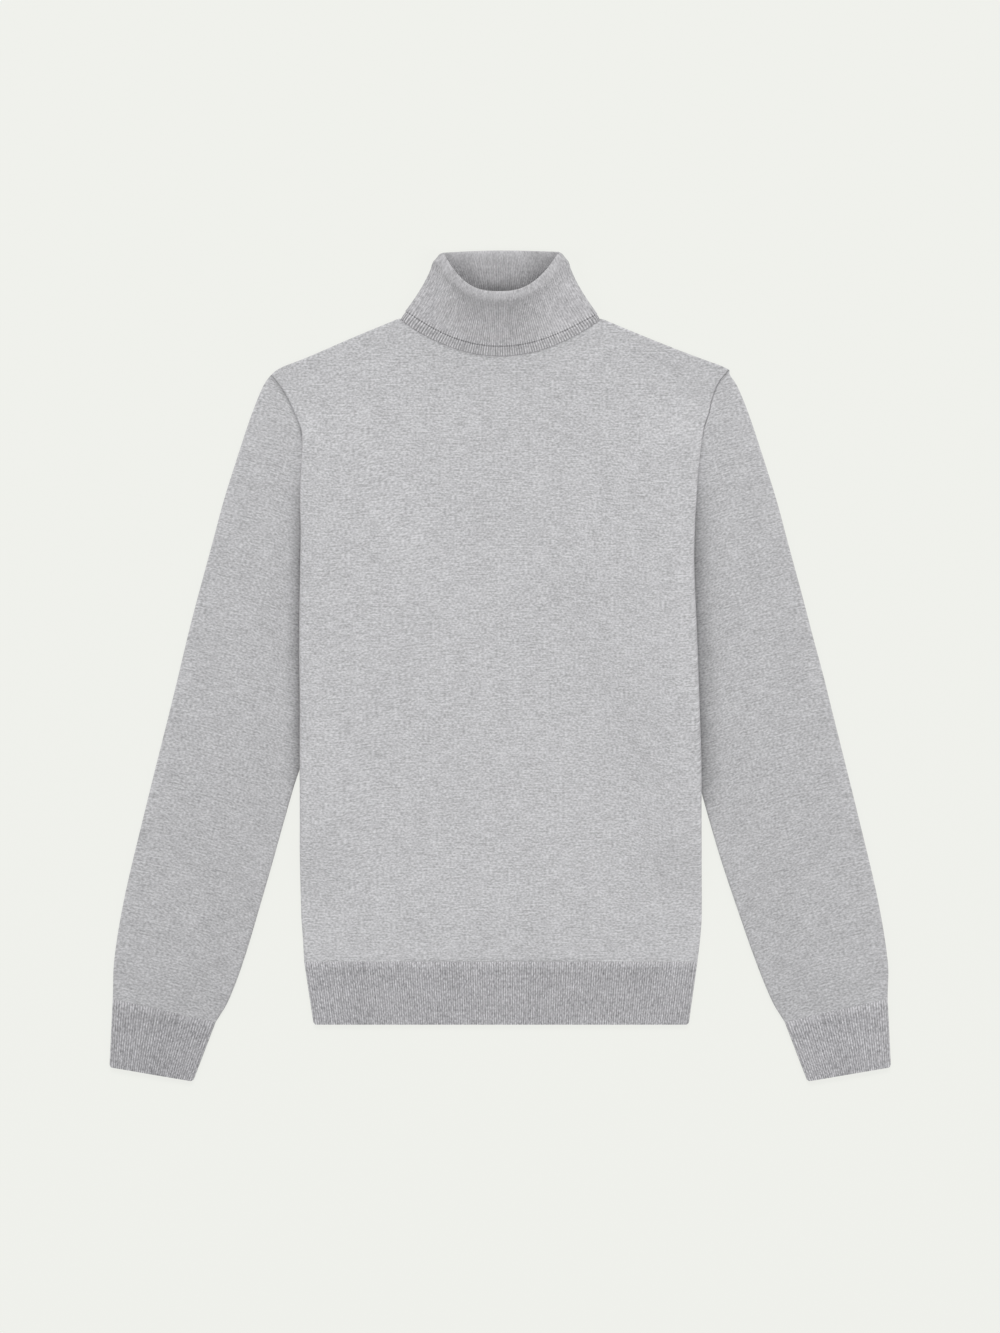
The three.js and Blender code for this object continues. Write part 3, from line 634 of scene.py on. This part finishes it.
def ribbed_stitches(across, along):
    """1 by 1 rib: a raised column of V's on each ridge, in shade between them."""
    turn = across * (2 * math.pi / (RIB_PITCH * MM))
    ridge = turn.math("COSINE", turn) * -0.5 + 0.5
    row = (along / (RIB_ROW * MM) + ridge * 0.5) * (2 * math.pi)
    loop = row.math("SINE", row) * 0.5 + 0.5
    # Painted highlight: the first stitches below the link are made lighter.
    start = 1 - along.smooth(1.5 * MM, 7 * MM)
    uneven = melange(along, across, [(7.0, 2.6, 1.3)], 7.0).smooth(-0.3, 0.3)
    lit = (ridge - 0.5) * (uneven * 0.62 + 0.4) + 0.95
    return loop * ridge, lit * (1 + start * 0.17)


RIB_FLECKS = [(1.6, 2.6, 0.95), (4.0, 7.0, 0.34), (30.0, 22.0, 0.16)]
RIB_TONES = (0.195, 0.193, 0.201), (0.78, 0.773, 0.797)
rib = knit_look("grey_rib", *RIB_TONES, 0.5, RIB_FLECKS, ribbed_stitches, 11.0)


def ridge(ribs):
    """Height of a rib's rounded ridge, ribs being counted from the first furrow."""
    return (0.5 - 0.5 * np.cos(2 * np.pi * ribs)) ** 0.8


def lay_rib_tube(loop, ribs, place, puff, lightness):
    """Lays a flat ribbed tube. place gives the plan at a share down and a share across."""
    def lay(u, v):
        s, turn = round_loop(loop, u)
        share, width = across_tube(s, turn, place(v, 0.0), place(v, 1.0))
        from_side = np.minimum(share, 1 - share) * width
        x, y = place(v * (1 - turned(from_side, CORNER) / RIB_DEPTH), share)
        rise = RIB_RISE * ridge(s * ribs) * (0.35 + 0.65 * ease(v, 0, 0.05))
        upright = np.sin(turn)
        thick = PRESSED + puff * np.sin(np.pi * s)
        on_top = np.where(upright > 0.9, rise, 0)
        underneath = np.where(upright < -0.9, 0.5 * (RIB_RISE - rise), 0)
        z = thick / 2 * (1 + upright) + on_top + underneath
        cloth_across = (s * ribs + fold_ribs(s, turn, 1)) * RIB_PITCH
        return x, y, z, cloth_across, v * RIB_DEPTH, lightness
    return lay


def place_hem(q, f):
    """The hem rib's plan, q 0 at the body and 1 at the bottom edge, f 0 on the right."""
    right = lerp(body_half(-1, HEM_SEAM_Y), HEM_EDGE_HALF[-1], q)
    left = lerp(body_half(1, HEM_SEAM_Y), HEM_EDGE_HALF[1], q)
    return lerp(-right, left, f), lerp(HEM_SEAM_Y, HEM_EDGE_Y, q)


def place_cuff(side):
    """The plan of one side's cuff, q 0 at the sleeve and 1 at its end, f 0 at the outer edge."""
    def place(q, f):
        seam_x, seam_y = sleeve_plan(side, 1.0, f)
        (outer_x, outer_y), (inner_x, inner_y) = CUFF_END["outer"], CUFF_END["inner"]
        end_x, end_y = side * lerp(outer_x, inner_x, f), lerp(outer_y, inner_y, f)
        return lerp(seam_x, end_x, q), lerp(seam_y, end_y, q)
    return place


def rib_tube(name, node, ribs, rows, place, puff, lightness):
    """Makes one ribbed ring, with six columns to a rib on top and two underneath."""
    loop = flat_loop(ribs * 6, ribs * 2)
    piece = knit(name, len(loop) - 1, rows, lay_rib_tube(loop, ribs, place, puff, lightness))
    join_edges()
    give_wall(piece, RIB_WALL, -1)
    bpy.ops.object.shade_smooth_by_angle(angle=SMOOTH_RIB_BELOW)
    piece.data.materials.append(rib)
    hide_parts(node)
    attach(piece, "root")


CUFF_PUFF = 0.4
rib_tube("hem_rib_cloth", "hem_rib", HEM_RIBS, 18, place_hem, 0, 0.95)
rib_tube("cuff_right_cloth", "cuff_right", CUFF_RIBS, 22, place_cuff(-1), CUFF_PUFF, 0.88)
rib_tube("cuff_left_cloth", "cuff_left", CUFF_RIBS, 22, place_cuff(1), CUFF_PUFF, 0.975)

# Collar
# One ring of 1 by 1 rib, linked to the neckline. It stands up as the neckband, rolls over at
# the rim and comes down outside itself, and its ribs fan out with its flare.
COLLAR_TOP_HALF = {-1: 61.5, 1: 62.7}
RIM_SIDE_Y = 394.4
RIM_BACK_Y = 398.4
RIM_FRONT_Y = 357.4
BACK_CREST_FALL = 1.7
COLLAR_RIBS = 78
COLLAR_DEPTH = 64  # length of its cloth from the seam to the rim
COLLAR_GAP = 1.2  # between its back and its front
COLLAR_MOUTH = 11.0  # how far the front stands up off the back at the rim
BACK_RISE = 4.0
RIM_CORNER = 2.2
TURNED_TO = 0.163  # share of the height that the turned-down edge comes down to
TURNED_LOWER = {-1: 0.034, 1: 0.075}  # how much lower that edge is at the sides
BAND_FLAT = 0.12
BAND = 1.5  # thickness of one layer
LAYER_GAP = 0.3
DOUBLED = 2 * BAND + RIB_RISE + LAYER_GAP
RIM_ROLL = 2.0
# The neckband fills out below the turned-down edge: share of its height, and how far.
BAND_ARCH = [(0.166, 0.5), (0.158, 1.0), (0.148, 1.3), (0.12, 1.45), (0.085, 1.4), (0.05, 1.1),
             (0.02, 0.7), (0, 0.2)]


LAST_INSIDE = 11  # the row at the top of the inside
OVER_RIM = 20  # the row where the cloth has turned over the rim


def collar_profile():
    """Rows up the neckband's inside, over the rim, down outside, and back up between the layers:
    the share of the height, the distance out through the cloth, how far past the rim, and which
    layer shows its ribs (1 the front's outside, -1 the back's inside)."""
    inside = [(v, 0, 0, -1) for v in np.linspace(0, 1, LAST_INSIDE + 1)]
    half = DOUBLED / 2
    angles = np.linspace(0, math.pi, OVER_RIM - LAST_INSIDE + 2)[1:-1]
    roll = [(1, half * (1 - math.cos(a)), half * 1.15 * math.sin(a), 1) for a in angles]
    heights = *np.linspace(1, TURNED_TO + 0.03, 18), TURNED_TO + 0.01, TURNED_TO + 0.003
    outside = [(v, DOUBLED, 0, 1) for v in heights]
    edge = [(TURNED_TO - 0.006, DOUBLED - 0.5, 0, 1), (TURNED_TO - 0.006, BAND + RIB_RISE + 0.6, 0, 0)]
    between = [(v, BAND + RIB_RISE + LAYER_GAP, 0, 0) for v in (TURNED_TO, 0.6)]
    between = between + [(0.96, BAND + LAYER_GAP, 0, 0)]
    band = [(0.6, BAND, 0, 0), (0.2, BAND, 0, 1)] + [(v, BAND + rise, 0, 1) for v, rise in BAND_ARCH]
    rows = inside + roll + outside + edge + between + band + [inside[0]]
    return np.array(rows)


PROFILE = collar_profile()
RIM_ARC = 6.0  # length of cloth in the roll over the rim
PAST_START = 20  # keeps the collar clear of the open first stitches of a rib
SIDE_RIBS = 3  # round each side of the collar, from its front to its side fold
COLLAR_LOOP = flat_loop(COLLAR_RIBS * 6, COLLAR_RIBS * 5, SIDE_RIBS * 12 - 1)


def lay_collar(u, v):
    row = v * (len(PROFILE) - 1)
    up, out, past, shown = (np.interp(row, np.arange(len(PROFILE)), PROFILE[:, i]) for i in range(4))
    s, turn = round_loop(COLLAR_LOOP, u)
    across = 2 * s - 1
    dip_power = by_side(across, 2.8, 2.45)
    upright = np.sin(turn)
    top, bottom = upright > 0.9995, upright < -0.9995
    back_top = lerp(BAND, DOUBLED + 0.1, np.clip(up / BAND_FLAT, 0, 1)) + BACK_RISE * ease(up, 0.5, 1.1)
    seam_x = across * (NECK_HALF - DOUBLED)
    start = front_underside(seam_x, neckline(seam_x, FRONT_NECK_DROP))
    out_of_seam = ease(up, 0, BAND_FLAT)
    mouth = COLLAR_MOUTH * (1 - across**2) * up**1.5
    front_height = lerp(start, back_top + COLLAR_GAP, out_of_seam) + mouth
    side_start = front_underside(NECK_HALF - DOUBLED, NECK_Y)
    side_height = lerp(side_start, back_top + COLLAR_GAP, out_of_seam)
    gap = (side_height - back_top) / 2
    ribs = s * COLLAR_RIBS + fold_ribs(s, turn, SIDE_RIBS)
    rise = RIB_RISE * ridge(ribs) * (1 - 0.8 * ease(up, 0.84, 0.92))
    outer = np.clip(shown, 0, 1) * ease(upright, -0.6, 0)
    inner = np.clip(-shown, 0, 1) * ease(-upright, 0, 0.6)
    raised = rise * (outer - inner)
    rolled = RIM_ROLL * np.exp(-(((up - 0.91) / 0.07) ** 2)) * np.clip(out / DOUBLED, 0, 1)
    inner_face = (upright < 0) & (out < BAND / 2)
    lowered = by_side(across, TURNED_LOWER[-1], TURNED_LOWER[1]) * np.abs(across) ** 3
    lowered = lowered * np.clip(1 + upright, 0, 1) * np.clip((0.6 - up) / (0.6 - TURNED_TO), 0, 1)
    lowered = lowered * np.clip(up / TURNED_TO, 0, 1) * (row > OVER_RIM)
    out = out + rolled * (1 + upright) / 2

    def plan(share, reach):
        """Where cloth lies that is a share of the way up and reaches out from the middle."""
        top_half = by_side(across, COLLAR_TOP_HALF[-1], COLLAR_TOP_HALF[1])
        flare = (NECK_HALF - top_half) * (1 - share) * (1 - 0.44 * share)
        half = top_half + flare - RIM_CORNER * ease(share, 0.88, 1)
        x = across * (half - DOUBLED - gap) + np.cos(turn) * reach
        seam_at = across * (NECK_HALF - DOUBLED - gap) + np.cos(turn) * (gap + BAND)
        seam_y = neckline(seam_at, lerp(BACK_NECK_DROP, FRONT_NECK_DROP, np.maximum(0, upright))) - 0.5
        dip = np.where(top, (RIM_SIDE_Y - RIM_FRONT_Y) * (1 - np.abs(across) ** dip_power), 0)
        fall = by_side(across, BACK_CREST_FALL, BACK_CREST_FALL / 2) * np.abs(across) ** 1.6
        crest = (RIM_BACK_Y - RIM_SIDE_Y - fall) * (1 - upright) / 2
        return x, lerp(seam_y, RIM_SIDE_Y - dip + crest, share)

    reach = gap + out + raised
    x, y = plan(up - lowered, reach)
    (seam_at, seam_up), (rim_at, rim_up) = plan(0, reach), plan(1, reach)
    length = np.hypot(rim_at - seam_at, rim_up - seam_up)
    x = x + past * (rim_at - seam_at) / length
    y = y + past * (rim_up - seam_up) / length
    middle = back_top + gap
    off_top = np.where(bottom, back_top - out - raised, middle + reach * upright)
    z = np.where(top, front_height + out + raised, off_top)
    over_rim = RIM_ARC * np.clip((row - LAST_INSIDE) / (OVER_RIM - LAST_INSIDE), 0, 1)
    from_seam = np.where(row < OVER_RIM, up * COLLAR_DEPTH, COLLAR_DEPTH + (1 - up) * COLLAR_DEPTH)
    cloth_along = PAST_START + over_rim + from_seam
    # Painted shade on the back's inner face: darker all over, more so deep in the mouth towards the front
    # rim and at its flanks, the left more.
    beyond_front = y - (RIM_SIDE_Y - (RIM_SIDE_Y - RIM_FRONT_Y) * (1 - np.abs(across) ** dip_power))
    painted_mouth_shade = 1 - 0.65 * (1 - np.clip(beyond_front / 20, 0, 1)) ** 1.6 * (1 - np.minimum(1, 1.5 * across**2))
    inside = painted_mouth_shade * (1 - by_side(across, 0.12, 0.2) * ease(np.abs(across), 0.3, 0.6)) * 0.895
    # Painted light and shade on the collar's outside: lighter on its flanks, the left more, and darker
    # over the sides of the rim and round the side folds. It is also a little darker at the seam.
    flank = by_side(across, ease(-across, 0.6, 0.95), ease(across, 0.2, 0.7))
    on_rim = ease(up, 0.8, 0.9) * ease(np.abs(across), 0.2, 0.5)
    at_seam = 1 - ease(up, 0, 0.02)
    outside = lerp(0.91, by_side(across, 0.925, 0.98), flank) * (1 - 0.09 * on_rim) * (1 - 0.1 * at_seam)
    outside = outside * (1 - 0.08 * ease(np.abs(np.cos(turn)), 0.1, 0.8))
    return x, y, z, ribs * RIB_PITCH, cloth_along, np.where(inner_face, inside, outside)


def turned_stitches(across, along):
    """The same rib, drawn smooth where it rolls over the rim and at the sides, and clearest on
    the neckband below the turned-down edge."""
    height, lit = ribbed_stitches(across, along)
    rolled = along.smooth(80 * MM, 84 * MM) * (1 - along.smooth(94 * MM, 101 * MM))
    on_band = along.smooth(140 * MM, 143.5 * MM)
    off_middle = across - COLLAR_RIBS * RIB_PITCH / 2 * MM
    flank = off_middle.math("ABSOLUTE", off_middle).smooth(25 * MM, 70 * MM) * (1 - on_band)
    plain = 1 - (1 - rolled * 0.8) * (1 - flank * 0.7)
    clear = (lit - 0.95) * 0.7 + 0.04
    return height * (1 - rolled * 0.7), lit + (1.0 - lit) * plain + clear * on_band


COLLAR_FLECKS = [(1.6, 2.6, 0.72), (5.0, 8.0, 0.34), (30.0, 22.0, 0.2)]
COLLAR_TONES = (0.284, 0.2815, 0.289), (0.832, 0.823, 0.843)
collar_rib = knit_look("grey_collar_rib", *COLLAR_TONES, 0.5, COLLAR_FLECKS, turned_stitches, 5.0)
collar = knit("collar_cloth", len(COLLAR_LOOP) - 1, len(PROFILE) - 1, lay_collar)
join_edges()
bpy.ops.object.shade_smooth_by_angle(angle=SMOOTH_RIB_BELOW)
collar.data.materials.append(collar_rib)
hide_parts("collar")
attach(collar, "root")
